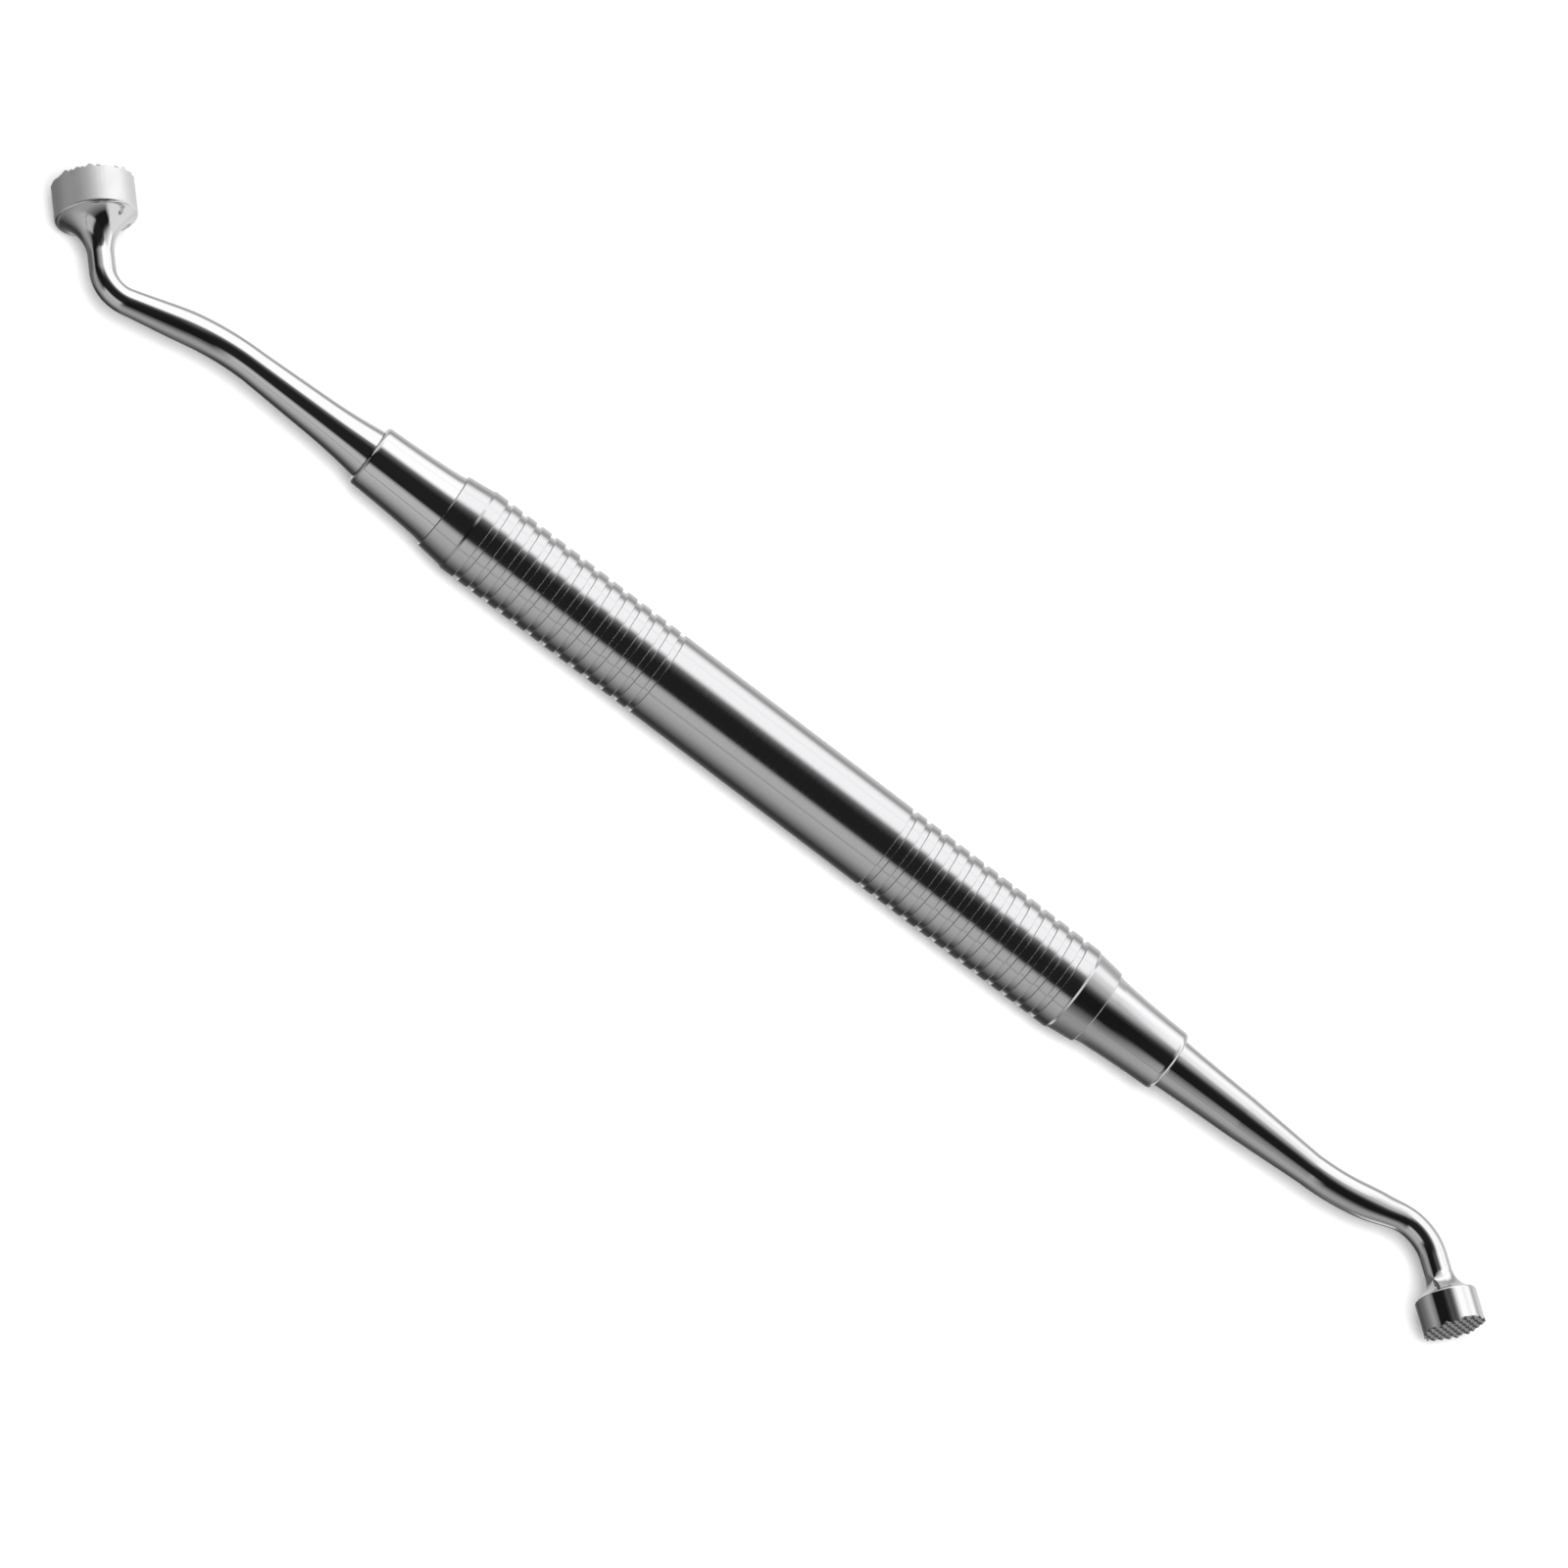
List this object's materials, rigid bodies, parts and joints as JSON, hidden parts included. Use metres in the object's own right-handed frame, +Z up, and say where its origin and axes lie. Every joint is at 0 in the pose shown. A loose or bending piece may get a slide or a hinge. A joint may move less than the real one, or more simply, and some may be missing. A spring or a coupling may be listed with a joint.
{
  "type": "bone plugger",
  "caption": "Double-ended bone plugger: hollow ringed grip with a ferrule and a bent shank at each end, and a round cross-cut head, one larger than the other.",
  "frame": {"origin": "on the grip's axis, halfway along the grip tube", "axes": "+X along the grip's axis from the larger head to the smaller one; +Z up from the surface the instrument lies on; the larger head points to +Y and the smaller one to -Y"},
  "size_m": [0.1788, 0.0151, 0.0092],
  "materials": {
    "satin_steel": "finely turned satin stainless steel",
    "polished_steel": "mirror-polished stainless steel"
  },
  "bodies": {
    "root": {"handle_tube": "satin_steel", "large_end_ferrule": "polished_steel", "small_end_ferrule": "polished_steel", "large_plugger": "polished_steel", "small_plugger": "polished_steel"}
  },
  "joints": []
}
